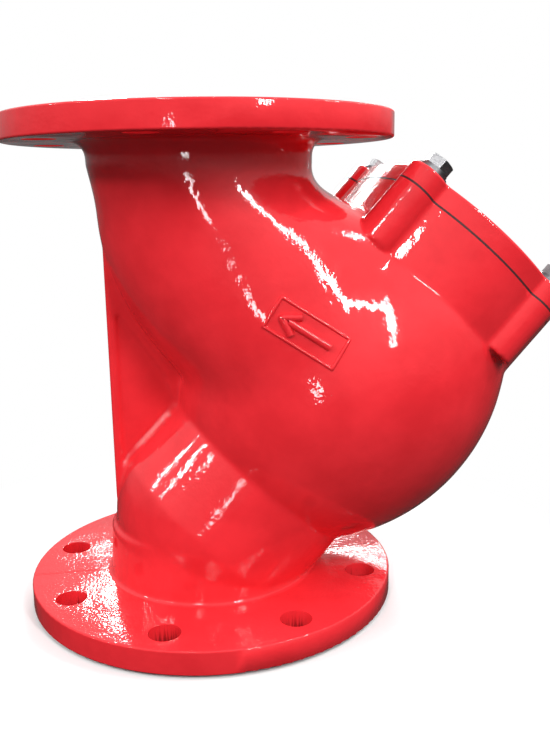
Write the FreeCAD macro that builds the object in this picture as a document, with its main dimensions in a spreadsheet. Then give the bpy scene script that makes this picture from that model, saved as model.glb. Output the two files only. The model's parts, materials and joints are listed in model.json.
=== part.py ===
import FreeCAD, Part
import Sketcher
import math
import os

# Y strainer, DN150 PN16.  Own frame: origin at the centre of the inlet flange's face, +Z up the pipe run
# toward the outlet flange, +X toward the strainer's branch, millimetres.  The XZ plane is the mirror plane
# of the casting.  The branch leaves the run at a height of branch_height, tilted by branch_angle from +Z
# toward +X; "station" below means the distance along the branch's own axis.

DRIVING = (
    ("face_to_face", 370.0),
    ("bore_radius", 75.0),
    ("flange_radius", 142.5),
    ("flange_back", 20.0),
    ("raised_face_radius", 105.5),
    ("raised_face_height", 2.0),
    ("flange_rim_round", 1.5),
    ("flange_bolt_circle_radius", 120.0),
    ("flange_hole_radius", 11.5),
    ("flange_holes", 8.0),
    ("inlet_neck_radius", 80.5),
    ("inlet_neck_fillet", 3.5),
    ("inlet_neck_end", 60.0),
    ("inlet_neck_end_radius", 79.0),
    ("outlet_neck_radius", 83.0),
    ("outlet_neck_fillet", 11.0),
    ("outlet_neck_end", 36.0),
    ("branch_angle", 42.5),
    ("branch_height", 54.0),
    ("branch_neck_radius", 85.0),
    ("elbow_depth", 72.0),
    ("elbow_arc_radius", 92.0),
    ("belly_start", 58.0),
    ("belly_arc_radius", 160.0),
    ("crown_start", 240.0),
    ("crown_radius", 98.0),
    ("crown_flat_radius", 400.0),
    ("crown_flat_reach", 83.0),
    ("joint_station", 287.0),
    ("lobe_radius", 16.0),
    ("far_lobe_along", 50.0),
    ("far_lobe_across", 78.0),
    ("near_lobe_along", 68.0),
    ("near_lobe_across", 68.0),
    ("lobe_side_fillet", 4.0),
    ("seat_start", 48.0),
    ("seat_station", 60.0),
    ("seat_radius", 66.0),
    ("guide_radius", 72.4),
    ("guide_end", 72.0),
    ("cavity_start_radius", 80.0),
    ("cavity_arc_radius", 150.0),
    ("cavity_end", 226.0),
    ("cavity_end_radius", 84.0),
    ("mouth_start", 237.0),
    ("mouth_radius", 74.0),
    ("elbow_bore_depth", 62.0),
    ("elbow_bore_arc_radius", 84.0),
    ("inlet_bore_length", 12.0),
    ("inlet_taper_end", 38.0),
    ("inlet_taper_end_radius", 71.0),
    ("outlet_bore_length", 35.0),
    ("wall", 9.0),
    ("rib_edge", 74.3),
    ("rib_thickness", 16.0),
    ("web_thickness", 10.0),
    ("gasket_thickness", 1.5),
    ("cover_thickness", 14.5),
    ("cover_round", 2.0),
    ("cover_recess_radius", 60.0),
    ("cover_recess_depth", 5.0),
    ("boss_radius", 27.0),
    ("boss_height", 4.0),
    ("bolt_radius", 6.0),
    ("bolt_length", 42.0),
    ("bolt_head_flats", 18.0),
    ("bolt_head_height", 7.5),
    ("tapped_radius", 6.05),
    ("tapped_depth", 30.0),
    ("clearance_hole_radius", 6.75),
    ("flat_washer_radius", 12.0),
    ("flat_washer_thickness", 2.0),
    ("lock_washer_radius", 10.3),
    ("lock_washer_thickness", 2.4),
    ("plug_radius", 13.2),
    ("plug_hole_radius", 13.25),
    ("plug_length", 15.0),
    ("plug_collar_radius", 18.0),
    ("plug_collar_height", 3.0),
    ("plug_flats", 27.0),
    ("plug_head_height", 8.0),
    ("plug_seal_thickness", 1.5),
    ("ring_radius", 72.0),
    ("sheet_radius", 70.0),
    ("sheet_thickness", 1.0),
    ("liner_thickness", 0.6),
    ("foot_ring_height", 12.0),
    ("ring_lip", 2.0),
    ("screen_end", 288.0),
    ("screen_hole_radius", 4.0),
)

DERIVED = (
    ("inlet_flange_hole_x", "flange_bolt_circle_radius * cos(180 / flange_holes)"),
    ("inlet_flange_hole_y", "flange_bolt_circle_radius * sin(180 / flange_holes)"),
    ("crown_flat_centre", "crown_flat_radius - crown_flat_reach"),
    ("crown_corner_along", "(crown_radius ^ 2 - crown_flat_radius ^ 2 + crown_flat_centre ^ 2)"
     " / (2 * crown_flat_centre)"),
    ("crown_corner_across", "sqrt(crown_radius ^ 2 - crown_corner_along ^ 2)"),
    ("branch_bore_radius", "bore_radius + 1"),
    ("inlet_fillet_foot", "inlet_neck_radius + inlet_neck_fillet"),
    ("inlet_fillet_end", "flange_back + inlet_neck_fillet"),
    ("outlet_fillet_foot", "outlet_neck_radius + outlet_neck_fillet"),
    ("outlet_fillet_end", "flange_back + outlet_neck_fillet"),
    ("cover_base", "joint_station + gasket_thickness"),
    ("cover_top", "cover_base + cover_thickness"),
    ("boss_top", "cover_top + boss_height"),
    ("bolt_seat", "cover_top + flat_washer_thickness + lock_washer_thickness"),
    ("bolt_head_circumradius", "bolt_head_flats / 2 / cos(30)"),
    ("plug_circumradius", "plug_flats / 2 / cos(30)"),
    ("plug_seat", "boss_top + plug_seal_thickness"),
    ("sheet_bore_radius", "sheet_radius - sheet_thickness"),
    ("liner_bore_radius", "sheet_bore_radius - liner_thickness"),
    ("sheet_start", "seat_station + ring_lip"),
    ("sheet_end", "screen_end - ring_lip"),
    ("foot_ring_end", "seat_station + foot_ring_height"),
    ("head_ring_start", "screen_end - foot_ring_height"),
    ("ring_bore_radius", "liner_bore_radius - 1.4"),
)

# Horizontal sections of the shell between the outlet neck and the belly, from the neck down:
# height, left side, right side and half width in Y.  The last ones end inside the belly.
SHELL = (
    (334.0, -83.0, 83.0, 83.0),
    (312.0, -78.6, 95.0, 85.0),
    (285.0, -76.0, 158.0, 92.0),
    (240.0, -63.0, 200.0, 103.0),
    (192.0, -33.0, 215.0, 112.0),
    (149.0, -26.0, 150.0, 88.0),
)

# The lobes' centres in the branch's own X and Y.  The near pair faces the outlet flange.
LOBES = (
    ("far_lobe_along", "far_lobe_across"),
    ("-near_lobe_along", "near_lobe_across"),
    ("-near_lobe_along", "-near_lobe_across"),
    ("far_lobe_along", "-far_lobe_across"),
)
# How far each bolt's head happens to be turned when it is tight, degrees.
HEAD_TURNS = (12.0, 41.0, 25.0, 53.0)

SCREEN_COLUMNS = 24
SCREEN_ROWS = 11

doc = FreeCAD.newDocument("y_strainer")
dims = doc.addObject("Spreadsheet::Sheet", "dims")


def fill_sheet():
    entries = [(name, "%g" % number) for name, number in DRIVING]
    entries += [(name, "=" + text) for name, text in DERIVED]
    for row, (name, content) in enumerate(entries, 1):
        dims.set("A%d" % row, name)
        dims.set("B%d" % row, content)
        dims.setAlias("B%d" % row, name)
    doc.recompute()


def value(name):
    """The number an alias of the sheet holds, minus it for "-alias"; None stands for zero."""
    if name is None:
        return 0.0
    if name.startswith("-"):
        return -float(dims.get(name[1:]))
    return float(dims.get(name))


def formula(name):
    """The expression that follows an alias, or minus it for "-alias"."""
    return "-dims." + name[1:] if name.startswith("-") else "dims." + name


def bind(obj, prop, name):
    obj.setExpression(prop, "dims." + name)


def branch_placement(station=0.0, along=0.0, across=0.0, turn=0.0):
    """A place on the branch: station on its axis, moved in its own X and Y, turned about its own Z."""
    height = value("branch_height")
    tilt = FreeCAD.Rotation(FreeCAD.Vector(0, 1, 0), value("branch_angle"))
    base = FreeCAD.Placement(FreeCAD.Vector(0, 0, height), tilt)
    spin = FreeCAD.Rotation(FreeCAD.Vector(0, 0, 1), turn)
    return base.multiply(FreeCAD.Placement(FreeCAD.Vector(along, across, station), spin))


def lobe_place(lobe, station, turn=0.0):
    """The place of one lobe's centre at a station of the branch."""
    return branch_placement(station, value(lobe[0]), value(lobe[1]), turn)


def tilt_to_branch(obj):
    """Puts an object drawn about its own Z axis onto the branch's axis."""
    obj.Placement = branch_placement()
    bind(obj, "Placement.Base.z", "branch_height")
    bind(obj, "Placement.Rotation.Angle", "branch_angle")


def new_body(label):
    return doc.addObject("PartDesign::Body", label)


def origin_plane(body, role):
    for feature in body.Origin.OriginFeatures:
        if feature.Role == role:
            return feature
    raise ValueError(role)


def new_sketch(body, role, lift=None):
    sketch = body.newObject("Sketcher::SketchObject", body.Label + "_sketch")
    sketch.AttachmentSupport = [(origin_plane(body, role), "")]
    sketch.MapMode = "FlatFace"
    if lift:
        sketch.setExpression("AttachmentOffset.Base.z", "dims." + lift)
    return sketch


def arc_through(start, end, radius, side):
    """An arc from start to end; side +1 bows it to the right of the way it runs, -1 to the left."""
    middle = (start + end) * 0.5
    run = end - start
    normal = FreeCAD.Vector(run.y, -run.x, 0) * (1.0 / run.Length)
    reach = math.sqrt(radius * radius - (run.Length / 2) ** 2)
    centre = middle - normal * (side * reach)
    first = math.atan2(start.y - centre.y, start.x - centre.x)
    last = math.atan2(end.y - centre.y, end.x - centre.x)
    circle = Part.Circle(centre, FreeCAD.Vector(0, 0, 1), radius)
    if side > 0:
        return Part.ArcOfCircle(circle, first, last), 1, 2
    return Part.ArcOfCircle(circle, last, first), 2, 1


def pin(sketch, geometry, position, names):
    """Holds one point of the sketch at two aliased distances from the sketch's origin."""
    for name, kind, axis in ((names[0], "DistanceX", -2), (names[1], "DistanceY", -1)):
        if name is None:
            sketch.addConstraint(Sketcher.Constraint("PointOnObject", geometry, position, axis))
            continue
        constraint = Sketcher.Constraint(kind, -1, 1, geometry, position, value(name))
        index = sketch.addConstraint(constraint)
        sketch.setExpression("Constraints[%d]" % index, formula(name))


def closed_profile(sketch, corners, arcs=()):
    """A closed outline through aliased corners; arcs maps a corner's number to (radius, side)."""
    arcs = dict(arcs)
    points = [FreeCAD.Vector(value(x), value(y), 0) for x, y in corners]
    pieces = []
    for index, start in enumerate(points):
        end = points[(index + 1) % len(points)]
        if index in arcs:
            radius, side = arcs[index]
            geometry, head, tail = arc_through(start, end, value(radius), side)
            number = sketch.addGeometry(geometry, False)
        else:
            number = sketch.addGeometry(Part.LineSegment(start, end), False)
            head, tail = 1, 2
        pieces.append((number, head, tail))
    for index, (number, head, tail) in enumerate(pieces):
        after = pieces[(index + 1) % len(pieces)]
        sketch.addConstraint(Sketcher.Constraint("Coincident", number, tail, after[0], after[1]))
        pin(sketch, number, head, corners[index])
    for index, (radius, side) in arcs.items():
        number = pieces[index][0]
        constraint = sketch.addConstraint(Sketcher.Constraint("Radius", number, value(radius)))
        sketch.setExpression("Constraints[%d]" % constraint, "dims." + radius)


def circle_in(sketch, radius, centre=(None, None)):
    """A circle of an aliased radius about an aliased centre."""
    middle = FreeCAD.Vector(value(centre[0]), value(centre[1]), 0)
    number = sketch.addGeometry(Part.Circle(middle, FreeCAD.Vector(0, 0, 1), value(radius)), False)
    index = sketch.addConstraint(Sketcher.Constraint("Radius", number, value(radius)))
    sketch.setExpression("Constraints[%d]" % index, "dims." + radius)
    pin(sketch, number, 3, centre)


def revolve(body, corners, arcs=()):
    """A solid turned about the body's own Z axis."""
    sketch = new_sketch(body, "XZ_Plane")
    closed_profile(sketch, corners, arcs)
    turned = body.newObject("PartDesign::Revolution", body.Label + "_turned")
    turned.Profile = sketch
    turned.ReferenceAxis = (sketch, ["V_Axis"])
    turned.Angle = 360
    body.Tip = turned
    return turned


def pad(body, sketch, length):
    feature = body.newObject("PartDesign::Pad", body.Label + "_pad")
    feature.Profile = sketch
    feature.setExpression("Length", length)
    body.Tip = feature
    return feature


def pocket_through(body, sketch):
    """A cut both ways from the sketch, right through the body."""
    feature = body.newObject("PartDesign::Pocket", body.Label + "_pocket")
    feature.Profile = sketch
    feature.Type = "ThroughAll"
    feature.Midplane = True
    body.Tip = feature
    return feature


def around(body, feature, count):
    """The feature repeated evenly about the body's own Z axis."""
    pattern = body.newObject("PartDesign::PolarPattern", body.Label + "_pattern")
    pattern.Originals = [feature]
    pattern.Axis = (origin_plane(body, "Z_Axis"), [""])
    pattern.Angle = 360
    pattern.Occurrences = count
    body.Tip = pattern
    return pattern


def round_edges(body, radius, chosen):
    """Rounds the edges of the body's tip that the test picks, by an aliased radius."""
    doc.recompute()
    base = body.Tip
    edges = base.Shape.Edges
    names = ["Edge%d" % (i + 1) for i, edge in enumerate(edges) if chosen(edge)]
    rounding = body.newObject("PartDesign::Fillet", body.Label + "_round")
    rounding.Base = (base, names)
    bind(rounding, "Radius", radius)
    body.Tip = rounding
    return rounding


def is_upright(edge):
    """A straight edge parallel to the body's own Z axis."""
    if not isinstance(edge.Curve, Part.Line) or len(edge.Vertexes) != 2:
        return False
    along = edge.Vertexes[1].Point - edge.Vertexes[0].Point
    return abs(abs(along.z) - along.Length) < 1e-6


def lies_at(edge, height):
    """Every point of the edge is at one height of the body's own frame."""
    return all(abs(vertex.Point.z - height) < 1e-6 for vertex in edge.Vertexes)


def cylinder(label, radius, height):
    solid = doc.addObject("Part::Cylinder", label)
    bind(solid, "Radius", radius)
    solid.setExpression("Height", height)
    return solid


def cut(label, base, tool):
    result = doc.addObject("Part::Cut", label)
    result.Base = base
    result.Tool = tool
    return result


def fuse(label, pieces):
    result = doc.addObject("Part::MultiFuse", label)
    result.Shapes = pieces
    return result


def flanged_neck(end, end_radius):
    """A flange with its raised face at Z = 0, drilled astride the centre lines, and a short neck."""
    body = new_body(end + "_end")
    corners = (
        (None, None),
        ("raised_face_radius", None),
        ("raised_face_radius", "raised_face_height"),
        ("flange_radius", "raised_face_height"),
        ("flange_radius", "flange_back"),
        (end + "_fillet_foot", "flange_back"),
        (end + "_neck_radius", end + "_fillet_end"),
        (end_radius, end + "_neck_end"),
        (None, end + "_neck_end"),
    )
    revolve(body, corners, {5: (end + "_neck_fillet", -1)})
    rim = value("flange_radius")
    round_edges(body, "flange_rim_round", lambda edge: abs(edge.BoundBox.XMax - rim) < 1e-3
                and edge.BoundBox.ZLength < 1e-6 and edge.Length > 6 * rim)
    sketch = new_sketch(body, "XY_Plane")
    circle_in(sketch, "flange_hole_radius", ("inlet_flange_hole_x", "inlet_flange_hole_y"))
    around(body, pocket_through(body, sketch), int(value("flange_holes")))
    return body


def branch_shell():
    """The ball of the elbow, the slanted neck and the belly, one turned solid."""
    body = new_body("branch_shell")
    corners = (
        (None, "-elbow_depth"),
        ("branch_neck_radius", None),
        ("branch_neck_radius", "belly_start"),
        ("crown_radius", "crown_start"),
        (None, "crown_start"),
    )
    revolve(body, corners, {0: ("elbow_arc_radius", 1), 2: ("belly_arc_radius", 1)})
    tilt_to_branch(body)
    return body


def crown_outline(sketch):
    """A round, flattened by a wider arc on the side that faces the outlet flange."""
    corner = FreeCAD.Vector(value("crown_corner_along"), value("crown_corner_across"), 0)
    mirrored = FreeCAD.Vector(corner.x, -corner.y, 0)
    far = FreeCAD.Vector(value("crown_radius"), 0, 0)
    near = FreeCAD.Vector(-value("crown_flat_reach"), 0, 0)
    wide = sketch.addGeometry(Part.Arc(mirrored, far, corner), False)
    flat = sketch.addGeometry(Part.Arc(corner, near, mirrored), False)
    for first, second in (((wide, 2), (flat, 1)), ((flat, 2), (wide, 1))):
        sketch.addConstraint(Sketcher.Constraint("Coincident", *(first + second)))
    for number, radius in ((wide, "crown_radius"), (flat, "crown_flat_radius")):
        index = sketch.addConstraint(Sketcher.Constraint("Radius", number, value(radius)))
        sketch.setExpression("Constraints[%d]" % index, "dims." + radius)
    pin(sketch, wide, 2, ("crown_corner_along", "crown_corner_across"))
    sketch.addConstraint(Sketcher.Constraint("Symmetric", wide, 2, wide, 1, -1))


def four_circles(sketch, radius):
    """One circle on each lobe's centre."""
    for lobe in LOBES:
        circle_in(sketch, radius, lobe)


def lobed_block(body, base, thickness):
    """The crown's outline with its four lobes, padded from an aliased height."""
    disc = new_sketch(body, "XY_Plane", base)
    crown_outline(disc)
    pad(body, disc, thickness)
    lobes = new_sketch(body, "XY_Plane", base)
    four_circles(lobes, "lobe_radius")
    pad(body, lobes, thickness)
    round_edges(body, "lobe_side_fillet", is_upright)


def crown_lobes():
    """The branch's own flange: the flattened round and the pillars that take the cover's bolts."""
    body = new_body("crown_lobes")
    lobed_block(body, "crown_start", "dims.joint_station - dims.crown_start")
    tilt_to_branch(body)
    return body


def oval_loft(label, sections, inset):
    """A smooth solid through the given sections, drawn in by the inset."""
    loft = doc.addObject("Part::Loft", label)
    loft.Sections = [oval_section("%s_%d" % (label, index + 1), section, inset)
                     for index, section in enumerate(sections)]
    loft.Solid = True
    loft.Ruled = False
    return loft


def inner_loft():
    """The passage inside the shell: it reaches into the outlet's bore and ends above the seat."""
    height, left, right, half_width = SHELL[0]
    sections = ((height + 2.0, left, right, half_width),) + SHELL[1:5]
    return oval_loft("inner_shell", sections, value("wall"))


def oval_section(label, section, inset):
    """One flat oval of the shell, drawn in by the inset."""
    height, left, right, half_width = section
    oval = doc.addObject("Part::Ellipse", label)
    half_length = (right - left) / 2
    oval.MajorRadius = half_length - inset
    oval.MinorRadius = min(half_width, half_length) - inset
    oval.Placement.Base = FreeCAD.Vector((left + right) / 2, 0, height)
    return oval


def rib():
    """The web that fills the notch between the necks, with a raised border round a sunk triangle."""
    edge = -value("rib_edge")
    outline = ((edge, 285), (edge, 80), (20, 80), (60, 200), (60, 285))
    hollow = ((-67.8, 229), (-68.2, 106), (-54.4, 121.4), (-29, 147), (-26.5, 156), (-33.9, 179))
    web = plate("rib_web", outline, "dims.web_thickness")
    border = plate("rib_border", outline, "dims.rib_thickness", hollow)
    return fuse("rib", [web, border])


def plate(label, outline, thickness, hollow=None):
    """A flat plate centred on the mirror plane, with an optional opening."""
    body = new_body(label)
    sketch = new_sketch(body, "XZ_Plane")
    for loop in (outline, hollow):
        if loop is None:
            continue
        points = [FreeCAD.Vector(x, z, 0) for x, z in loop]
        for start, end in zip(points, points[1:] + points[:1]):
            sketch.addGeometry(Part.LineSegment(start, end), False)
    feature = pad(body, sketch, thickness)
    feature.Midplane = True
    return body


def casting_outside():
    """Everything solid, before any passage is cut."""
    inlet = flanged_neck("inlet", "inlet_neck_end_radius")
    outlet = flanged_neck("outlet", "outlet_neck_radius")
    outlet.Placement = FreeCAD.Placement(FreeCAD.Vector(0, 0, value("face_to_face")),
                                         FreeCAD.Rotation(FreeCAD.Vector(1, 0, 0), 180))
    bind(outlet, "Placement.Base.z", "face_to_face")
    shell = oval_loft("outer_shell", SHELL, 0.0)
    whole = fuse("outside", [inlet, outlet, branch_shell(), crown_lobes(), shell, rib()])
    below = doc.addObject("Part::Box", "below_inlet")
    below.Length = below.Width = 400
    below.Height = 150
    below.Placement.Base = FreeCAD.Vector(-200, -200, -150)
    return cut("trimmed_outside", whole, below)


def branch_passage():
    """The slanted bore, the screen's seat and guide, the settling chamber and its mouth."""
    body = new_body("branch_passage")
    corners = (
        (None, "-elbow_bore_depth"),
        ("branch_bore_radius", None),
        ("branch_bore_radius", "seat_start"),
        ("seat_radius", "seat_start"),
        ("seat_radius", "seat_station"),
        ("guide_radius", "seat_station"),
        ("guide_radius", "guide_end"),
        ("cavity_start_radius", "guide_end"),
        ("cavity_end_radius", "cavity_end"),
        ("mouth_radius", "mouth_start"),
        ("mouth_radius", "cover_base"),
        (None, "cover_base"),
    )
    revolve(body, corners, {0: ("elbow_bore_arc_radius", 1), 7: ("cavity_arc_radius", 1)})
    tilt_to_branch(body)
    return body


def inlet_passage():
    """The inlet's bore, drawn in to a throat below the elbow."""
    body = new_body("inlet_passage")
    corners = (
        (None, None),
        ("bore_radius", None),
        ("bore_radius", "inlet_bore_length"),
        ("inlet_taper_end_radius", "inlet_taper_end"),
        ("inlet_taper_end_radius", "inlet_neck_end"),
        (None, "inlet_neck_end"),
    )
    revolve(body, corners)
    return body


def casting_inside():
    """The passages and the tapped holes, as one cutting solid."""
    outlet = cylinder("outlet_bore", "bore_radius", "dims.outlet_bore_length + 5")
    outlet.setExpression("Placement.Base.z", "dims.face_to_face - dims.outlet_bore_length")
    solids = [inlet_passage(), outlet, branch_passage(), inner_loft()]
    for number, lobe in enumerate(LOBES):
        hole = cylinder("tapped_hole_%d" % (number + 1), "tapped_radius", "dims.tapped_depth + 5")
        hole.Placement = lobe_place(lobe, value("joint_station") - value("tapped_depth"))
        solids.append(hole)
    return fuse("inside", solids)


def casting():
    return cut("body", casting_outside(), casting_inside())


def lobed_plate(label, base, thickness, centre_hole):
    """A flat piece with the crown's outline, drilled for the bolts."""
    body = new_body(label)
    lobed_block(body, base, thickness)
    if label == "cover":
        top = value("cover_top")
        round_edges(body, "cover_round", lambda edge: lies_at(edge, top))
    holes = new_sketch(body, "XY_Plane", base)
    four_circles(holes, "clearance_hole_radius")
    if centre_hole:
        circle_in(holes, centre_hole)
    pocket_through(body, holes)
    tilt_to_branch(body)
    return body


def cover():
    """The lobed cover, dished inside, with a drain boss in the middle of its outer face."""
    body = lobed_plate("cover", "cover_base", "dims.cover_thickness", None)
    boss = new_sketch(body, "XY_Plane", "cover_top")
    circle_in(boss, "boss_radius")
    pad(body, boss, "dims.boss_height")
    dish = new_sketch(body, "XY_Plane", "cover_base")
    circle_in(dish, "cover_recess_radius")
    recess = body.newObject("PartDesign::Pocket", "cover_dish")
    recess.Profile = dish
    recess.Reversed = True
    bind(recess, "Length", "cover_recess_depth")
    body.Tip = recess
    drain = new_sketch(body, "XY_Plane", "cover_base")
    circle_in(drain, "plug_hole_radius")
    pocket_through(body, drain)
    return body


def turned_ring(label, corners):
    """A ring turned about the branch's axis."""
    body = new_body(label)
    revolve(body, corners)
    tilt_to_branch(body)
    return body


def rectangle(inner, outer, low, high):
    return ((inner, low), (outer, low), (outer, high), (inner, high))


def screen_sheet():
    """The perforated tube: staggered rows of round holes."""
    body = turned_ring("screen_sheet",
                       rectangle("sheet_bore_radius", "sheet_radius", "sheet_start", "sheet_end"))
    body.Label = "screen_tube"
    low = value("foot_ring_end") + 3.0
    high = value("head_ring_start") - 3.0
    pitch = (high - low) / SCREEN_ROWS
    pins = []
    for row in range(SCREEN_ROWS):
        shift = 0.5 * (row % 2)
        for column in range(SCREEN_COLUMNS // 2):
            turn = 360.0 * (column + shift) / SCREEN_COLUMNS
            pins.append(cross_pin(low + (row + 0.5) * pitch, turn))
    drill = doc.addObject("Part::Compound", "screen_drill")
    drill.Links = pins
    result = cut("perforated_tube", body, drill)
    result.Label = "screen_sheet"
    return result


def cross_pin(station, turn):
    """A pin right across the tube, so that it drills two opposite holes."""
    pin_solid = cylinder("drill", "screen_hole_radius", "2 * dims.sheet_radius + 10")
    across = FreeCAD.Rotation(FreeCAD.Vector(0, 1, 0), -90)
    reach = FreeCAD.Vector(value("sheet_radius") + 5.0, 0, 0)
    place = branch_placement(station, turn=turn)
    pin_solid.Placement = place.multiply(FreeCAD.Placement(reach, across))
    return pin_solid


def end_ring(label, lip_end, lip_inner_end, far_end):
    """An angle-section ring: a sleeve round the tube and a lip over the tube's end."""
    corners = (
        ("ring_bore_radius", lip_end),
        ("ring_radius", lip_end),
        ("ring_radius", far_end),
        ("sheet_radius", far_end),
        ("sheet_radius", lip_inner_end),
        ("ring_bore_radius", lip_inner_end),
    )
    return turned_ring(label, corners)


def plain_ring(label, outer, inner, thickness, place):
    """A flat ring standing on a place of the branch."""
    blank = cylinder(label + "_blank", outer, "dims." + thickness)
    bore = cylinder(label + "_bore", inner, "dims.%s + 2" % thickness)
    bore.Placement.Base = FreeCAD.Vector(0, 0, -1)
    ring = cut(label, blank, bore)
    ring.Placement = place
    return ring


def split_ring(label, place):
    """A spring washer: a ring cut through by a slanted slit."""
    whole = plain_ring(label + "_whole", "lock_washer_radius", "clearance_hole_radius",
                       "lock_washer_thickness", FreeCAD.Placement())
    slit = doc.addObject("Part::Box", label + "_slit")
    slit.Length = 12
    slit.Width = 1.4
    slit.Height = 8
    lean = FreeCAD.Rotation(FreeCAD.Vector(1, 0, 0), 25)
    slit.Placement = FreeCAD.Placement(FreeCAD.Vector(2, 0, -3), lean)
    ring = cut(label, whole, slit)
    ring.Placement = place
    return ring


def hex_head(label, circumradius, height):
    """A hexagon with its outer corners turned off at thirty degrees."""
    prism = doc.addObject("Part::Prism", label + "_hexagon")
    prism.Polygon = 6
    bind(prism, "Circumradius", circumradius)
    prism.setExpression("Height", "dims." + height)
    turned = doc.addObject("Part::Cone", label + "_turned")
    turned.setExpression("Radius1", "dims.%s * 0.96 + dims.%s * 1.732" % (circumradius, height))
    turned.setExpression("Radius2", "dims.%s * 0.9" % circumradius)
    turned.setExpression("Height", "dims." + height)
    head = doc.addObject("Part::MultiCommon", label + "_head")
    head.Shapes = [prism, turned]
    return head


def bolt(number, lobe):
    label = "bolt_%d" % number
    head = hex_head(label, "bolt_head_circumradius", "bolt_head_height")
    shank = cylinder(label + "_shank", "bolt_radius", "dims.bolt_length + 1")
    shank.setExpression("Placement.Base.z", "-dims.bolt_length")
    whole = fuse(label, [head, shank])
    whole.Placement = lobe_place(lobe, value("bolt_seat"), HEAD_TURNS[number - 1])
    return whole


def drain_plug():
    head = hex_head("drain_plug", "plug_circumradius", "plug_head_height")
    head.setExpression("Placement.Base.z", "dims.plug_collar_height")
    collar = cylinder("drain_plug_collar", "plug_collar_radius", "dims.plug_collar_height")
    shank = cylinder("drain_plug_shank", "plug_radius", "dims.plug_length + 1")
    shank.setExpression("Placement.Base.z", "-dims.plug_length")
    whole = fuse("drain_plug", [head, collar, shank])
    whole.Placement = branch_placement(value("plug_seat"))
    return whole


def fastenings():
    pieces = []
    for index, lobe in enumerate(LOBES):
        number = index + 1
        low = value("cover_top")
        pieces.append(plain_ring("flat_washer_%d" % number, "flat_washer_radius", "clearance_hole_radius",
                                 "flat_washer_thickness", lobe_place(lobe, low)))
        low += value("flat_washer_thickness")
        pieces.append(split_ring("lock_washer_%d" % number, lobe_place(lobe, low)))
        pieces.append(bolt(number, lobe))
    return pieces


def build():
    fill_sheet()
    nodes = [
        casting(),
        lobed_plate("gasket", "joint_station", "dims.gasket_thickness", "mouth_radius"),
        cover(),
        screen_sheet(),
        turned_ring("screen_liner", rectangle("liner_bore_radius", "sheet_bore_radius",
                                              "sheet_start", "sheet_end")),
        end_ring("screen_foot_ring", "seat_station", "sheet_start", "foot_ring_end"),
        end_ring("screen_head_ring", "screen_end", "sheet_end", "head_ring_start"),
        plain_ring("plug_seal", "plug_collar_radius", "plug_hole_radius", "plug_seal_thickness",
                   branch_placement(value("boss_top"))),
        drain_plug(),
    ]
    nodes += fastenings()
    doc.recompute()
    return nodes


def write(nodes):
    for obj in doc.Objects:
        if "Invalid" in obj.State or "Error" in obj.State:
            raise RuntimeError("%s does not compute: %s" % (obj.Label, obj.State))
    os.makedirs("parts", exist_ok=True)
    for node in nodes:
        shape = node.Shape
        if shape.isNull() or not shape.isValid() or len(shape.Solids) != 1:
            raise RuntimeError("%s is not one valid solid" % node.Label)
        shape.exportStep("parts/%s.step" % node.Label)


write(build())
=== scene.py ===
import json
import math

import bmesh
import bpy
import numpy as np
from mathutils import Matrix, Vector
from mathutils.bvhtree import BVHTree

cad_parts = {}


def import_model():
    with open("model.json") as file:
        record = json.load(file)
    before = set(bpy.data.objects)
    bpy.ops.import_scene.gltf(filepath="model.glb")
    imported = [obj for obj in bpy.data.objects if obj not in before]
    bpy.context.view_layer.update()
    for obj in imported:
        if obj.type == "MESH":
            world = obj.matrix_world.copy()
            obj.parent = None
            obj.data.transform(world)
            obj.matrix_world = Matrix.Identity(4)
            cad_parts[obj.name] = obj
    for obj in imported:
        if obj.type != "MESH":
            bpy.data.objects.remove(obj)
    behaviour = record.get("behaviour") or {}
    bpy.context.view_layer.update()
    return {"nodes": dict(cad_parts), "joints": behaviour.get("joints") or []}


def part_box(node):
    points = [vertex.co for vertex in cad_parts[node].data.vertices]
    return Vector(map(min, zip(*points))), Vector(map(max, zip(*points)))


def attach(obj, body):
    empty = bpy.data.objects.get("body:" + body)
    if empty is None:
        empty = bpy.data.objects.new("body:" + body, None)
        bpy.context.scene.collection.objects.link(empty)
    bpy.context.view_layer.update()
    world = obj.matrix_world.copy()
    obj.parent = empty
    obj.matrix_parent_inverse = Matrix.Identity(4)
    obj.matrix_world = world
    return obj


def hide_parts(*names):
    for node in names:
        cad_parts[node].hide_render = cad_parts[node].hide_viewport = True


# Looks of the Y strainer.  Metres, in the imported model's frame: Z runs from the inlet flange to the outlet
# flange, X points toward the slanted branch and the XZ plane is the casting's mirror plane.

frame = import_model()

MM = 0.001


def joint(name):
    """The record's entry for one joint."""
    return next(entry for entry in frame["joints"] if entry["name"] == name)


BRANCH_AXIS = Vector(joint("cover_lift")["axis"]).normalized()
BRANCH_X = Vector((BRANCH_AXIS.z, 0.0, -BRANCH_AXIS.x))
PLUG_CENTRE = Vector(joint("plug_turn")["pos_m"])
BOLT_NUMBERS = (1, 2, 3, 4)
BOLT_CENTRES = [Vector(joint("bolt_%d_turn" % number)["pos_m"]) for number in BOLT_NUMBERS]
BRANCH_FOOT = Vector((0.0, 0.0, PLUG_CENTRE.z - PLUG_CENTRE.x * BRANCH_AXIS.z / BRANCH_AXIS.x))


def station_of(point):
    """Distance of a point along the branch's axis, from where that axis meets the run's."""
    return (Vector(point) - BRANCH_FOOT).dot(BRANCH_AXIS)


def station_range(node):
    """Lowest and highest station a CAD node reaches."""
    stations = [station_of(vertex.co) for vertex in frame["nodes"][node].data.vertices]
    return min(stations), max(stations)


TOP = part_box("body")[1].z
JOINT_STATION = station_range("gasket")[0]
SEAT_STATION = station_range("screen_foot_ring")[0]
BOLT_SEAT = station_of(BOLT_CENTRES[0])
PLUG_SEAT = station_of(PLUG_CENTRE)

# Threads of the M12 bolts and the G3/4 plug.
BOLT_PITCH = 1.75 * MM
PLUG_PITCH = 1.81 * MM

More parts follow.
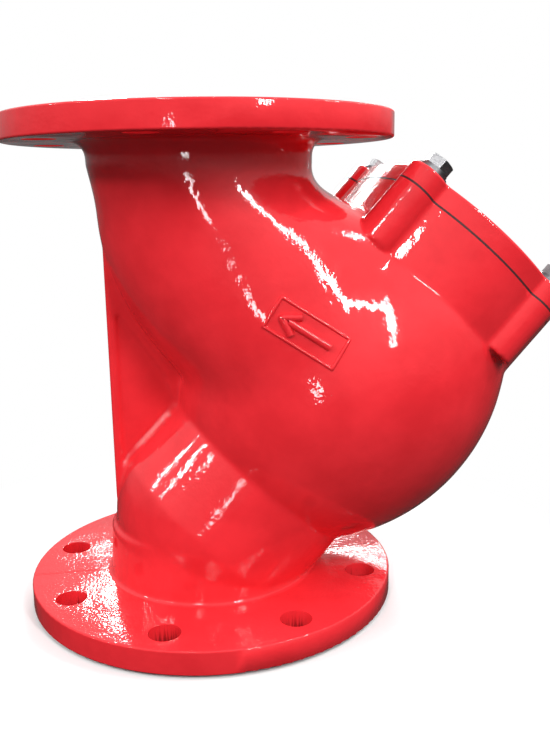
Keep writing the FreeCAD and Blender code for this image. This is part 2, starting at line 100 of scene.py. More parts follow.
# How far the CAD's crisp surface reaches in from the flange faces and from the crown's joint face.
FLANGE_CUT = 22 * MM
CROWN_CUT = 4 * MM

# Fineness of the rough casting between them, how often its points relax, and how far each time.
VOXEL = 1.4 * MM
SADDLE_ROUNDS = 220
CAST_ROUNDS = 5
RELAX_SHARE = 0.6

# Points freer than this leave the CAD's surface; edges sharper than this many degrees stay crisp;
# points closer than this are one.
FREE_WEIGHT = 0.5
SHARP_ANGLE = 35
SAME_POINT = 0.001 * MM

# The saddle between the upper neck and the belly lies between two stations and two heights. Beside
# the rib it starts at some distance from the mirror plane, and past the run's middle it needs none.
# Each pair is where a change begins and where it is complete.
SADDLE_START = (68 * MM, 90 * MM)
SADDLE_END = (222 * MM, 236 * MM)
SADDLE_FOOT = (145 * MM, 185 * MM)
SADDLE_HEAD = (300 * MM, 328 * MM)
RIB_SIDE = (10 * MM, 22 * MM)
RUN_MIDDLE = (0.0, 30 * MM)

# What is machined, in the same way: heights from a flange face, stations at the crown and from the
# screen's seat, radius of the branch's bore and distance from a bolt's axis. The lobes are held in part.
FLANGE_BAND = (FLANGE_CUT, FLANGE_CUT + 7 * MM)
CROWN_BAND = (JOINT_STATION - 14 * MM, JOINT_STATION - 7 * MM)
SEAT_BAND = (SEAT_STATION - 24 * MM, SEAT_STATION - 18 * MM)
BORE_BAND = (76 * MM, 79 * MM)
BOLT_HOLE_BAND = (7.5 * MM, 10 * MM)
LOBE_BAND = (20 * MM, 30 * MM)
LOBE_START = (225 * MM, 245 * MM)
LOBE_HOLD = 0.75


# --- the cast skin ---------------------------------------------------------------------------------

def evaluated_copy(obj, name):
    """A new object that holds another's mesh with its modifiers applied."""
    bpy.context.view_layer.update()
    graph = bpy.context.evaluated_depsgraph_get()
    mesh = bpy.data.meshes.new_from_object(obj.evaluated_get(graph))
    copy = bpy.data.objects.new(name, mesh)
    bpy.context.scene.collection.objects.link(copy)
    return copy


def points_of(mesh):
    """The mesh's vertices as rows of an array."""
    points = np.empty(len(mesh.vertices) * 3, np.float32)
    mesh.vertices.foreach_get("co", points)
    return points.reshape(-1, 3).astype(float)


def step(value, low, high):
    """0 below low, 1 above high, smooth between."""
    part = np.clip((value - low) / (high - low), 0.0, 1.0)
    return part * part * (3.0 - 2.0 * part)


def branch_coordinates(points):
    """Station along the branch, distance from its axis, and position in its own X and Y."""
    offset = points - np.array(BRANCH_FOOT)
    station = offset @ np.array(BRANCH_AXIS)
    along = offset @ np.array(BRANCH_X)
    across = offset[:, 1]
    return station, np.hypot(along, across), along, across


def lobe_distance(points):
    """Distance to the nearest bolt's axis."""
    _, _, along, across = branch_coordinates(points)
    nearest = np.full(len(points), 1.0)
    for centre in BOLT_CENTRES:
        lobe_along = (centre - BRANCH_FOOT).dot(BRANCH_X)
        nearest = np.minimum(nearest, np.hypot(along - lobe_along, across - centre.y))
    return nearest


def saddle_weight(points):
    """1 where the upper neck flows into the belly, which the casting rounds most; 0 near the rib."""
    station, _, _, _ = branch_coordinates(points)
    weight = step(station, *SADDLE_START) * (1.0 - step(station, *SADDLE_END))
    weight *= step(points[:, 2], *SADDLE_FOOT) * (1.0 - step(points[:, 2], *SADDLE_HEAD))
    beside_rib = step(np.abs(points[:, 1]), *RIB_SIDE)
    return weight * np.maximum(beside_rib, step(points[:, 0], *RUN_MIDDLE)) * cast_weight(points)


def cast_weight(points):
    """How freely each point may relax: 1 on rough casting, less on the lobes, 0 on machined faces."""
    station, from_axis, _, _ = branch_coordinates(points)
    from_bolt = lobe_distance(points)
    weight = step(points[:, 2], *FLANGE_BAND)
    weight *= step(TOP - points[:, 2], *FLANGE_BAND)
    weight *= 1.0 - step(station, *CROWN_BAND)
    weight *= 1.0 - step(station, *SEAT_BAND) * (1.0 - step(from_axis, *BORE_BAND))
    weight *= step(from_bolt, *BOLT_HOLE_BAND)
    near_lobe = (1.0 - step(from_bolt, *LOBE_BAND)) * step(station, *LOBE_START)
    return weight * (1.0 - LOBE_HOLD * near_lobe)


def relax(points, edges, weight, rounds):
    """Moves every point toward the mean of its neighbours, by its weight."""
    first, second = edges[:, 0], edges[:, 1]
    count = np.bincount(first, minlength=len(points)) + np.bincount(second, minlength=len(points))
    count = np.maximum(count, 1)[:, None]
    for _ in range(rounds):
        total = np.empty_like(points)
        for axis in range(3):
            total[:, axis] = np.bincount(first, points[second, axis], len(points))
            total[:, axis] += np.bincount(second, points[first, axis], len(points))
        points = points + RELAX_SHARE * weight[:, None] * (total / count - points)
    return points


def keep_between(mesh, low_z, high_z, high_station):
    """Cuts off everything below low_z, above high_z and beyond high_station."""
    work = bmesh.new()
    work.from_mesh(mesh)
    planes = (
        (Vector((0, 0, low_z)), Vector((0, 0, -1))),
        (Vector((0, 0, high_z)), Vector((0, 0, 1))),
        (BRANCH_FOOT + BRANCH_AXIS * high_station, BRANCH_AXIS),
    )
    for place, outward in planes:
        everything = work.verts[:] + work.edges[:] + work.faces[:]
        bmesh.ops.bisect_plane(work, geom=everything, plane_co=place, plane_no=outward, clear_outer=True)
    work.to_mesh(mesh)
    work.free()


def keep_beyond(mesh, place, outward):
    """Joins the mesh's split edges, then keeps only what lies on the outward side of a plane."""
    work = bmesh.new()
    work.from_mesh(mesh)
    bmesh.ops.remove_doubles(work, verts=work.verts[:], dist=SAME_POINT)
    everything = work.verts[:] + work.edges[:] + work.faces[:]
    bmesh.ops.bisect_plane(work, geom=everything, plane_co=place, plane_no=outward, clear_inner=True)
    work.to_mesh(mesh)
    work.free()


def remeshed(source):
    """A copy made of small even cells."""
    rough = evaluated_copy(source, "rough")
    remesh = rough.modifiers.new("remesh", "REMESH")
    remesh.mode = "VOXEL"
    remesh.voxel_size = VOXEL
    fine = evaluated_copy(rough, "fine")
    bpy.data.objects.remove(rough)
    return fine


def laid_back(fine, source):
    """The fine mesh with its held points laid back on the source's surface."""
    target = evaluated_copy(source, "wrap_target")
    group = fine.vertex_groups.new(name="machined")
    held = np.nonzero(cast_weight(points_of(fine.data)) < FREE_WEIGHT)[0]
    group.add([int(index) for index in held], 1.0, "REPLACE")
    wrap = fine.modifiers.new("wrap", "SHRINKWRAP")
    wrap.target = target
    wrap.vertex_group = group.name
    middle = evaluated_copy(fine, "middle")
    bpy.data.objects.remove(fine)
    bpy.data.objects.remove(target)
    return middle


def relax_casting(mesh):
    """Rounds the saddle and then, a little, everything that is rough casting."""
    points = points_of(mesh)
    edges = np.empty(len(mesh.edges) * 2, np.int32)
    mesh.edges.foreach_get("vertices", edges)
    edges = edges.reshape(-1, 2)
    points = relax(points, edges, saddle_weight(points), SADDLE_ROUNDS)
    points = relax(points, edges, cast_weight(points), CAST_ROUNDS)
    mesh.vertices.foreach_set("co", points.astype(np.float32).ravel())
    mesh.update()


def cast_middle(source):
    """The rough casting between the machined ends, with fillets where its parts meet."""
    middle = laid_back(remeshed(source), source)
    relax_casting(middle.data)
    keep_between(middle.data, FLANGE_CUT, TOP - FLANGE_CUT, JOINT_STATION - CROWN_CUT)
    return middle


def machined_end(source, *planes):
    """The CAD's own crisp surface beyond every given plane."""
    end = evaluated_copy(source, "end")
    for place, outward in planes:
        keep_beyond(end.data, place, outward)
    return end


def join(objects, name):
    """Several objects as one."""
    with bpy.context.temp_override(active_object=objects[0], selected_editable_objects=objects):
        bpy.ops.object.join()
    objects[0].name = name
    objects[0].data.name = name
    return objects[0]


def smooth_by_angle(mesh, degrees):
    """Smooth shading, with edges sharper than the angle left crisp."""
    mesh.shade_smooth()
    mesh.set_sharp_from_angle(angle=math.radians(degrees))


def cast_body():
    """The whole casting: rough in the middle, as machined at the two flanges and the crown."""
    source = frame["nodes"]["body"]
    up = Vector((0, 0, 1))
    inlet_cut, outlet_cut = up * FLANGE_CUT, up * (TOP - FLANGE_CUT)
    crown_cut = BRANCH_FOOT + BRANCH_AXIS * (JOINT_STATION - CROWN_CUT)
    pieces = [
        cast_middle(source),
        machined_end(source, (inlet_cut, -up)),
        machined_end(source, (outlet_cut, up)),
        machined_end(source, (crown_cut, BRANCH_AXIS), (outlet_cut, -up)),
    ]
    skin = join(pieces, "body_skin")
    smooth_by_angle(skin.data, SHARP_ANGLE)
    return skin


# --- raised marks ----------------------------------------------------------------------------------

class Surface:
    """The cast skin as something to lay raised strokes on."""

    def __init__(self, obj):
        mesh = obj.data
        mesh.calc_loop_triangles()
        triangles = [tuple(triangle.vertices) for triangle in mesh.loop_triangles]
        self.tree = BVHTree.FromPolygons([vertex.co for vertex in mesh.vertices], triangles)

    def drop(self, point, direction):
        """Where a ray from the point lands, and the surface's normal there."""
        place, normal, _, _ = self.tree.ray_cast(point, direction)
        return place, normal


def resampled(path, spacing):
    """Points along a polyline, evenly spaced on each leg, corners kept."""
    points = [Vector(path[0])]
    for start, end in zip(path, path[1:]):
        start, end = Vector(start), Vector(end)
        count = max(1, round((end - start).length / spacing))
        points += [start.lerp(end, number / count) for number in range(1, count + 1)]
    return points


# A bead's cross-section, in shares of its width and height; its feet lie a little under the surface.
BEAD = ((-0.5, -0.3), (-0.36, 0.55), (-0.2, 1.0), (0.2, 1.0), (0.36, 0.55), (0.5, -0.3))

# How far apart its cross-sections stand, and from how far outside the path they are dropped.
BEAD_SPACING = 0.8 * MM
BEAD_DROP = 60 * MM


def bead_faces(count, spans):
    """Faces between each of count cross-sections and the next, the first following the last."""
    size = len(BEAD)
    faces = []
    for index in range(spans):
        after = (index + 1) % count
        for side in range(size - 1):
            faces.append((index * size + side, index * size + side + 1,
                          after * size + side + 1, after * size + side))
    return faces


def raised_stroke(surface, place, right, up, path, width, height):
    """A bead with sloping sides that follows the surface under a flat path; right and up span its plane."""
    inward = up.cross(right).normalized()
    points = resampled(path, BEAD_SPACING)
    closed = (points[0] - points[-1]).length < SAME_POINT
    if closed:
        points = points[:-1]
    count = len(points)
    vertices = []
    for index, point in enumerate(points):
        before = points[index - 1] if closed or index else point
        after = points[(index + 1) % count] if closed or index < count - 1 else point
        run = (after - before).normalized()
        side = Vector((-run.y, run.x))
        for offset, lift in BEAD:
            flat = point + side * (offset * width)
            start = place + right * flat.x + up * flat.y - inward * BEAD_DROP
            landing, normal = surface.drop(start, inward)
            vertices.append(landing + normal * (lift * height))
    return vertices, bead_faces(count, count if closed else count - 1)


def raised_mark(name, surface, place, right, up, strokes):
    """Several raised strokes as one piece on the casting."""
    vertices, faces = [], []
    for path, width, height in strokes:
        more, their_faces = raised_stroke(surface, place, right, up, path, width, height)
        base = len(vertices)
        vertices += more
        faces += [tuple(base + index for index in face) for face in their_faces]
    mesh = bpy.data.meshes.new(name)
    mesh.from_pydata(vertices, [], faces)
    work = bmesh.new()
    work.from_mesh(mesh)
    bmesh.ops.recalc_face_normals(work, faces=work.faces[:])
    work.to_mesh(mesh)
    work.free()
    mesh.shade_smooth()
    mark = bpy.data.objects.new(name, mesh)
    bpy.context.scene.collection.objects.link(mark)
    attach(mark, "casting")
    return mark


# Where the framed arrow stands on the belly: station, branch X, how far in front of the branch's axis
# its plane lies, and its turn away from branch X.
MARK_STATION = 162 * MM
MARK_ALONG = -71.5 * MM
MARK_FRONT = Vector((0, -100 * MM, 0))
MARK_TURN = Matrix.Rotation(math.radians(-9), 3, "Y")

# The frame's half sides, the arrow's ends and barbs, and width and height of both beads.
MARK_HALF_LONG = 26 * MM
MARK_HALF_SHORT = 11.5 * MM
ARROW_TAIL = 18 * MM
ARROW_NECK = -14 * MM
ARROW_TIP = -19 * MM
ARROW_BARB = (-8 * MM, 7 * MM)
BORDER_BEAD = (2.8 * MM, 1.3 * MM)
ARROW_BEAD = (6.2 * MM, 2.8 * MM)


def flow_mark(surface, material):
    """A plain arrow in a plain border, cast on the belly; it points toward the outlet."""
    long, short = MARK_HALF_LONG, MARK_HALF_SHORT
    border = [(-long, -short), (long, -short), (long, short), (-long, short), (-long, -short)]
    shaft = [(ARROW_TAIL, 0.0), (ARROW_NECK, 0.0)]
    barb, spread = ARROW_BARB
    head = [(barb, spread), (ARROW_TIP, 0.0), (barb, -spread)]
    strokes = ((border, *BORDER_BEAD), (shaft, *ARROW_BEAD), (head, *ARROW_BEAD))
    place = BRANCH_FOOT + BRANCH_AXIS * MARK_STATION + BRANCH_X * MARK_ALONG + MARK_FRONT
    right, up = MARK_TURN @ BRANCH_X, MARK_TURN @ BRANCH_AXIS
    dress(raised_mark("cast_flow_arrow", surface, place, right, up, strokes), material)


# --- materials -------------------------------------------------------------------------------------

class Nodes:
    """Short hand for building one material's node tree."""

    def __init__(self, name):
        self.material = bpy.data.materials.new(name)
        self.material.use_nodes = True
        self.tree = self.material.node_tree
        self.tree.nodes.clear()
        self.output = self.add("ShaderNodeOutputMaterial")
        self.shader = self.add("ShaderNodeBsdfPrincipled")
        self.link(self.shader.outputs["BSDF"], self.output.inputs["Surface"])
        self.place = self.add("ShaderNodeTexCoord").outputs["Object"]

    def add(self, kind, **settings):
        """A new node with some of its settings given."""
        node = self.tree.nodes.new(kind)
        for name, value in settings.items():
            setattr(node, name, value)
        return node

    def link(self, source, target):
        """Connects an output to an input."""
        self.tree.links.new(source, target)

    def feed(self, socket, value):
        """Connects an output, or writes a plain value."""
        if isinstance(value, bpy.types.NodeSocket):
            self.link(value, socket)
        else:
            socket.default_value = value

    def math(self, operation, first, second=0.0, third=0.0):
        """One step of arithmetic on outputs or plain numbers."""
        node = self.add("ShaderNodeMath", operation=operation)
        for socket, value in zip(node.inputs, (first, second, third)):
            self.feed(socket, value)
        return node.outputs[0]

    def dot(self, vector, direction):
        """How far a vector reaches along a fixed direction."""
        node = self.add("ShaderNodeVectorMath", operation="DOT_PRODUCT")
        self.feed(node.inputs[0], vector)
        node.inputs[1].default_value = direction
        return node.outputs["Value"]

    def noise(self, size, detail=3.0, roughness=0.55, stretch=(1.0, 1.0, 1.0)):
        """Noise whose blobs are about size metres across."""
        mapping = self.add("ShaderNodeMapping")
        self.feed(mapping.inputs["Vector"], self.place)
        mapping.inputs["Scale"].default_value = stretch
        node = self.add("ShaderNodeTexNoise")
        self.feed(node.inputs["Vector"], mapping.outputs["Vector"])
        node.inputs["Scale"].default_value = 1.0 / size
        node.inputs["Detail"].default_value = detail
        node.inputs["Roughness"].default_value = roughness
        return node.outputs["Fac"]

    def remap(self, value, low, high, to_low=0.0, to_high=1.0):
        """Carries the range low to high over to another, smoothly and clamped."""
        node = self.add("ShaderNodeMapRange", interpolation_type="SMOOTHSTEP")
        self.feed(node.inputs["Value"], value)
        limits = {"From Min": low, "From Max": high, "To Min": to_low, "To Max": to_high}
        for name, number in limits.items():
            self.feed(node.inputs[name], number)
        return node.outputs["Result"]

    def mix(self, factor, first, second):
        """The first colour where the factor is 0, the second where it is 1."""
        node = self.add("ShaderNodeMix", data_type="RGBA")
        self.feed(node.inputs["Factor"], factor)
        self.feed(node.inputs["A"], first)
        self.feed(node.inputs["B"], second)
        return node.outputs["Result"]

    def bump(self, height, distance, normal=None):
        """Tilts the surface as if the height, times the distance, stood on it."""
        node = self.add("ShaderNodeBump")
        self.feed(node.inputs["Height"], height)
        self.feed(node.inputs["Distance"], distance)
        if normal is not None:
            self.link(normal, node.inputs["Normal"])
        return node.outputs["Normal"]

    def surface(self, **values):
        """Sets the shader's inputs; names use underscores for spaces."""
        for name, value in values.items():
            self.feed(self.shader.inputs[name.replace("_", " ")], value)
        return self.material


def colour(red, green, blue):
    """An opaque colour."""
    return (red, green, blue, 1.0)


def grey(level):
    """A neutral colour."""
    return colour(level, level, level)


ACROSS = (0.0, 1.0, 0.0)
UPWARD = (0.0, 0.0, 1.0)

# The parting line: how far it reaches either side of the mirror plane, and how high it stands.
PARTING_WIDTH = 1.6 * MM
PARTING_HEIGHT = 0.45 * MM


def parting_ridge(nodes):
    """1 on the line where the casting's two half moulds met, which is its mirror plane."""
    distance = nodes.math("ABSOLUTE", nodes.dot(nodes.place, ACROSS))
    return nodes.remap(distance, PARTING_WIDTH * 0.35, PARTING_WIDTH, 1.0, 0.0)


def branch_station(nodes):
    """Distance along the branch's axis, from where that axis meets the run's."""
    return nodes.math("SUBTRACT", nodes.dot(nodes.place, tuple(BRANCH_AXIS)), BRANCH_FOOT.dot(BRANCH_AXIS))


# The enamel's unevenness: how wide and how high each kind is. Its reds, and the colour of its specks.
WAVES = (34 * MM, 0.8 * MM)
LUMPS = (8 * MM, 0.16 * MM)
GRIT = (2.2 * MM, 0.085 * MM)
DEEP_RED = colour(0.80, 0.024, 0.033)
BRIGHT_RED = colour(0.92, 0.032, 0.043)
SPECK_RED = colour(0.5, 0.006, 0.01)


def red_enamel(name, parting_line):
    """Thick gloss enamel over sand-cast iron: waves, lumps, grit, dark specks and a faint parting line."""
    nodes = Nodes(name)
    geometry = nodes.add("ShaderNodeNewGeometry")
    upward = nodes.dot(geometry.outputs["Normal"], UPWARD)
    flat_top = nodes.remap(upward, 0.9, 0.99)
    waves = nodes.noise(WAVES[0], 2.0, 0.45)
    lumps = nodes.noise(LUMPS[0], 1.0, 0.5)
    grit = nodes.noise(GRIT[0], 1.0, 0.5)
    patches = nodes.remap(nodes.noise(60 * MM, 2.0), 0.42, 0.62)
    roughened = nodes.math("MULTIPLY_ADD", flat_top, 1.3, nodes.math("MULTIPLY_ADD", patches, 0.7, 0.5))
    bent = nodes.bump(waves, WAVES[1])
    bent = nodes.bump(lumps, LUMPS[1], bent)
    bent = nodes.bump(grit, nodes.math("MULTIPLY", roughened, GRIT[1]), bent)
    if parting_line:
        bent = nodes.bump(parting_ridge(nodes), PARTING_HEIGHT, bent)
    tint = nodes.mix(nodes.remap(nodes.noise(45 * MM, 4.0), 0.3, 0.7), DEEP_RED, BRIGHT_RED)
    specks = nodes.remap(nodes.noise(1.2 * MM, 2.0), 0.74, 0.8)
    tint = nodes.mix(nodes.math("MULTIPLY", specks, 0.4), tint, SPECK_RED)
    gloss = nodes.remap(nodes.noise(20 * MM, 4.0), 0.3, 0.75, 0.14, 0.26)
    return nodes.surface(Base_Color=tint, Roughness=gloss, Normal=bent, Specular_IOR_Level=0.03,
                         Coat_Weight=0.85, Coat_Roughness=0.022, Coat_Normal=bent)


def threaded_metal(name, base, dark, seat, pitch, roughness):
    """Plated or turned metal; below the seat's station a thread runs round it, its grooves darkened as
    painted shade.
    """
    nodes = Nodes(name)
    station = branch_station(nodes)
    below = nodes.remap(station, seat - 2.0 * MM, seat - 1.0 * MM, 1.0, 0.0)
    phase = nodes.math("PINGPONG", nodes.math("DIVIDE", station, pitch), 0.5)
    thread = nodes.math("MULTIPLY", nodes.math("MULTIPLY", phase, 2.0), below)
    scratches = nodes.noise(1.5 * MM, 5.0, 0.7, (1.0, 1.0, 9.0))
    stains = nodes.remap(nodes.noise(6 * MM, 5.0, 0.65), 0.35, 0.7)
    bent = nodes.bump(thread, 0.6 * pitch)
    bent = nodes.bump(scratches, 0.03 * MM, bent)
    tint = nodes.mix(stains, base, dark)
    # Painted shade: the thread's grooves are coloured toward near black, as if shadowed.
    painted_groove_shade = nodes.math("MULTIPLY", below, nodes.remap(phase, 0.0, 0.2, 0.7, 0.0))
    tint = nodes.mix(painted_groove_shade, tint, grey(0.05))
    rough = nodes.remap(scratches, 0.3, 0.7, roughness - 0.08, roughness + 0.12)
    return nodes.surface(Base_Color=tint, Metallic=1.0, Roughness=rough, Normal=bent)


def plain_metal(name, base, dark, roughness, grain=2.0 * MM):
    """Bare metal with a fine grain and darker stains."""
    nodes = Nodes(name)
    fine = nodes.noise(grain, 5.0, 0.7)
    stains = nodes.remap(nodes.noise(8 * MM, 5.0, 0.6), 0.35, 0.7)
    bent = nodes.bump(fine, 0.04 * MM)
    return nodes.surface(Base_Color=nodes.mix(stains, base, dark), Metallic=1.0,
                         Roughness=nodes.remap(fine, 0.3, 0.7, roughness - 0.08, roughness + 0.1),
                         Normal=bent)


# The wire cloth: the distance between its wires, and the radius it is rolled to.
WIRE_PITCH = 1.6 * MM
CLOTH_RADIUS = 69 * MM


def woven_mesh(name):
    """Fine wire cloth: wires drawn round and along the branch, with the gaps between painted dark as shade.
    """
    nodes = Nodes(name)
    station = branch_station(nodes)
    along = nodes.math("SUBTRACT", nodes.dot(nodes.place, tuple(BRANCH_X)), BRANCH_FOOT.dot(BRANCH_X))
    turn = nodes.math("ARCTAN2", nodes.dot(nodes.place, ACROSS), along)
    wires_round = nodes.math("PINGPONG", nodes.math("DIVIDE", station, WIRE_PITCH), 0.5)
    wires_along = nodes.math("PINGPONG", nodes.math("MULTIPLY", turn, CLOTH_RADIUS / WIRE_PITCH), 0.5)
    higher = nodes.math("MULTIPLY", nodes.math("MAXIMUM", wires_round, wires_along), 2.0)
    # Painted shade: the gaps between the wires are coloured near black.
    tint = nodes.mix(nodes.remap(higher, 0.45, 0.8), colour(0.05, 0.05, 0.055), colour(0.62, 0.62, 0.63))
    return nodes.surface(Base_Color=tint, Metallic=1.0, Roughness=0.32, Normal=nodes.bump(higher, 0.4 * MM))


def rubber(name, base, pale):
    """Dull sheet rubber with paler dust on it."""
    nodes = Nodes(name)
    grain = nodes.noise(0.9 * MM, 4.0, 0.65)
    dust = nodes.remap(nodes.noise(14 * MM, 4.0), 0.4, 0.75, 0.0, 0.6)
    rough = nodes.remap(grain, 0.3, 0.7, 0.55, 0.8)
    tint = nodes.mix(dust, base, pale)
    return nodes.surface(Base_Color=tint, Roughness=rough, Normal=nodes.bump(grain, 0.05 * MM))


def dress(obj, material):
    """Gives an object one material."""
    obj.data.materials.clear()
    obj.data.materials.append(material)


# --- stage -----------------------------------------------------------------------------------------

# The camera's place, its turn from the Y axis, tip and roll in degrees, and its lens and film in mm.
CAMERA_PLACE = Vector((-63.6, -644.2, 317.9)) * MM
CAMERA_HEADING = 10.35
CAMERA_PITCH = -12.10
CAMERA_ROLL = -0.94
CAMERA_LENS = 55.43
CAMERA_FILM = 36.0
CAMERA_NEAR = 10 * MM


def camera():
    """Stands a little left of the object and above it, and looks slightly down."""
    data = bpy.data.cameras.new("camera")
    data.sensor_fit = "HORIZONTAL"
    data.sensor_width = CAMERA_FILM
    data.lens = CAMERA_LENS
    data.clip_start = CAMERA_NEAR
    obj = bpy.data.objects.new("camera", data)
    bpy.context.scene.collection.objects.link(obj)
    turn = Matrix.Rotation(math.radians(-CAMERA_HEADING), 4, "Z")
    tip = Matrix.Rotation(math.radians(90 + CAMERA_PITCH), 4, "X")
    roll = Matrix.Rotation(math.radians(CAMERA_ROLL), 4, "Z")
    obj.matrix_world = Matrix.Translation(CAMERA_PLACE) @ turn @ tip @ roll
    bpy.context.scene.camera = obj


def area_light(name, place, aim, size, power):
    """A rectangular lamp that faces the aim."""
    data = bpy.data.lights.new(name, "AREA")
    data.shape = "RECTANGLE"
    data.size, data.size_y = size
    data.energy = power
    obj = bpy.data.objects.new(name, data)
    bpy.context.scene.collection.objects.link(obj)
    obj.location = place
    look = Vector(aim) - Vector(place)
    obj.rotation_euler = look.to_track_quat("-Z", "Y").to_euler()


# Lamps round the object: direction from it (0 is the side the camera stands on, positive toward +X),
# height above the horizon in degrees, width and height in metres, and how bright the lamp's face is.
LAMPS = (
    ("front_right", 22, 33, 0.12, 0.75, 42),
    ("right", 75, 47, 0.50, 0.09, 62),
    ("front_left", -27, 37, 0.13, 0.24, 50),
    ("window_1", -90, 27, 0.08, 0.14, 70),
    ("window_2", -74, 27, 0.08, 0.14, 70),
    ("window_3", -58, 27, 0.08, 0.14, 70),
    ("low_front", -22, 2, 0.08, 0.24, 24),
    ("behind", 172, 24, 0.90, 0.14, 38),
)
LAMP_DISTANCE = 1.7
LAMP_AIM = Vector((50 * MM, 0.0, 0.5 * TOP))


def lights():
    """Every lamp at the same distance, facing the object."""
    for name, azimuth, elevation, width, height, radiance in LAMPS:
        turn, lift = math.radians(azimuth), math.radians(elevation)
        away = Vector((math.sin(turn) * math.cos(lift), -math.cos(turn) * math.cos(lift), math.sin(lift)))
        power = radiance * math.pi * width * height
        area_light(name, LAMP_AIM + away * LAMP_DISTANCE, LAMP_AIM, (width, height), power)


# The surroundings: their grey below and above, and the heights between which one turns into the
# other, from 0 straight down to 1 straight up.
SKY_LOW, SKY_LOW_GREY = 0.44, 0.05
SKY_HIGH, SKY_HIGH_GREY = 0.74, 0.82


def world():
    """White for the camera; for everything else pale above and dim below."""
    data = bpy.data.worlds.new("studio")
    bpy.context.scene.world = data
    data.use_nodes = True
    tree = data.node_tree
    tree.nodes.clear()
    output = tree.nodes.new("ShaderNodeOutputWorld")
    seen = tree.nodes.new("ShaderNodeBackground")
    seen.inputs["Color"].default_value = grey(1.0)
    lit = tree.nodes.new("ShaderNodeBackground")
    place = tree.nodes.new("ShaderNodeTexCoord")
    split = tree.nodes.new("ShaderNodeSeparateXYZ")
    ramp = tree.nodes.new("ShaderNodeValToRGB")
    low, high = ramp.color_ramp.elements
    low.position, low.color = SKY_LOW, grey(SKY_LOW_GREY)
    high.position, high.color = SKY_HIGH, grey(SKY_HIGH_GREY)
    shift = tree.nodes.new("ShaderNodeMath")
    shift.operation = "MULTIPLY_ADD"
    shift.inputs[1].default_value = 0.5
    shift.inputs[2].default_value = 0.5
    choose = tree.nodes.new("ShaderNodeMixShader")
    rays = tree.nodes.new("ShaderNodeLightPath")
    links = tree.links
    links.new(place.outputs["Generated"], split.inputs[0])
    links.new(split.outputs["Z"], shift.inputs[0])
    links.new(shift.outputs[0], ramp.inputs["Fac"])
    links.new(ramp.outputs["Color"], lit.inputs["Color"])
    links.new(rays.outputs["Is Camera Ray"], choose.inputs["Fac"])
    links.new(lit.outputs[0], choose.inputs[1])
    links.new(seen.outputs[0], choose.inputs[2])
    links.new(choose.outputs[0], output.inputs["Surface"])


# The ground: how far it reaches, how far under the object it lies, and where it fades to white.
FLOOR_REACH = 30.0
FLOOR_DROP = 0.2 * MM
FLOOR_FADE = (160 * MM, 340 * MM)


def floor():
    """Pale ground that takes the object's shadow and fades to plain white round it."""
    reach = FLOOR_REACH
    corners = [(-reach, -reach, 0), (reach, -reach, 0), (reach, reach, 0), (-reach, reach, 0)]
    mesh = bpy.data.meshes.new("floor")
    mesh.from_pydata(corners, [], [(0, 1, 2, 3)])
    obj = bpy.data.objects.new("floor", mesh)
    obj.location.z = -FLOOR_DROP
    bpy.context.scene.collection.objects.link(obj)
    nodes = Nodes("pale_floor")
    tint = nodes.mix(nodes.noise(4 * MM, 4.0), grey(0.90), grey(0.94))
    nodes.surface(Base_Color=tint, Roughness=0.7)
    away = nodes.add("ShaderNodeVectorMath", operation="LENGTH")
    nodes.feed(away.inputs[0], nodes.place)
    glow = nodes.add("ShaderNodeEmission")
    fade = nodes.add("ShaderNodeMixShader")
    nodes.feed(fade.inputs["Fac"], nodes.remap(away.outputs["Value"], *FLOOR_FADE))
    nodes.link(nodes.shader.outputs["BSDF"], fade.inputs[1])
    nodes.link(glow.outputs["Emission"], fade.inputs[2])
    nodes.link(fade.outputs["Shader"], nodes.output.inputs["Surface"])
    dress(obj, nodes.material)
    obj.visible_glossy = False
    obj.visible_diffuse = False


# --- the object ------------------------------------------------------------------------------------

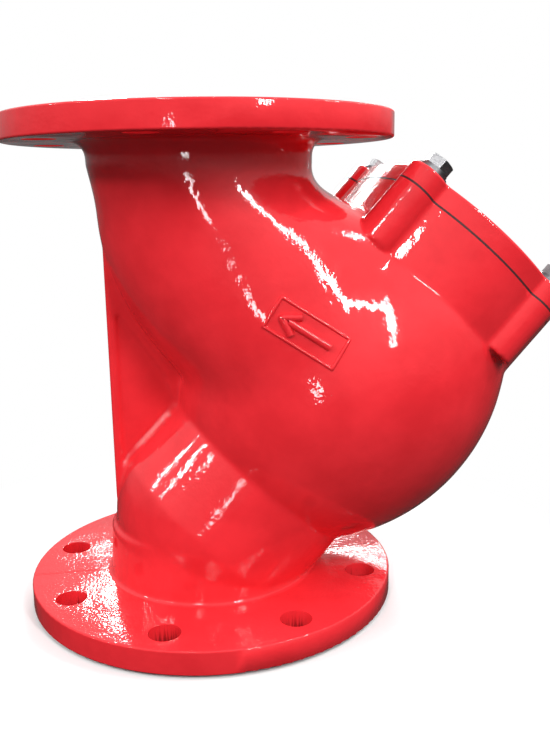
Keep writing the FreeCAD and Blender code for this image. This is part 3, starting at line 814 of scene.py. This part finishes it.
# Each bare material's own colour and that of its stains or dust.
ZINC = (colour(0.42, 0.42, 0.43), colour(0.27, 0.27, 0.28))
BRASS = (colour(0.78, 0.55, 0.24), colour(0.6, 0.4, 0.17))
DULL_STEEL = (colour(0.3, 0.3, 0.31), colour(0.17, 0.17, 0.18))
ROLLED_STEEL = (colour(0.6, 0.6, 0.62), colour(0.45, 0.45, 0.47))
SATIN_STEEL = (colour(0.66, 0.66, 0.67), colour(0.52, 0.52, 0.54))
RED_BLACK_RUBBER = (colour(0.045, 0.010, 0.012), colour(0.16, 0.012, 0.014))


def casting():
    """The cast skin stands for the CAD's body; the cover keeps its own mesh and has no parting line."""
    skin = cast_body()
    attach(skin, "casting")
    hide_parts("body")
    cast_red = red_enamel("cast_red", True)
    cover_red = red_enamel("cover_red", False)
    dress(skin, cast_red)
    dress(frame["nodes"]["cover"], cover_red)
    flow_mark(Surface(skin), cast_red)


def bolts():
    """Zinc-plated bolts on duller washers."""
    zinc = threaded_metal("zinc_plate", *ZINC, BOLT_SEAT, BOLT_PITCH, 0.3)
    washer = plain_metal("dull_steel", *DULL_STEEL, 0.4)
    for number in BOLT_NUMBERS:
        dress(frame["nodes"]["bolt_%d" % number], zinc)
        dress(frame["nodes"]["flat_washer_%d" % number], washer)
        dress(frame["nodes"]["lock_washer_%d" % number], washer)


def plug_and_seals():
    """A turned brass plug, its seal, and the cover's gasket; red has rubbed off on both seals."""
    brass = threaded_metal("turned_brass", *BRASS, PLUG_SEAT, PLUG_PITCH, 0.24)
    dark_rubber = rubber("gasket_sheet", *RED_BLACK_RUBBER)
    dress(frame["nodes"]["drain_plug"], brass)
    dress(frame["nodes"]["gasket"], dark_rubber)
    dress(frame["nodes"]["plug_seal"], dark_rubber)


def screen():
    """The strainer: rolled sheet, wire cloth inside it, and a ring at either end."""
    sheet = plain_metal("rolled_steel", *ROLLED_STEEL, 0.3, 1.2 * MM)
    ring = plain_metal("satin_steel", *SATIN_STEEL, 0.3)
    dress(frame["nodes"]["screen_sheet"], sheet)
    dress(frame["nodes"]["screen_liner"], woven_mesh("wire_cloth"))
    dress(frame["nodes"]["screen_foot_ring"], ring)
    dress(frame["nodes"]["screen_head_ring"], ring)


casting()
bolts()
plug_and_seals()
screen()

bpy.context.scene.view_settings.view_transform = "Standard"
camera()
lights()
world()
floor()
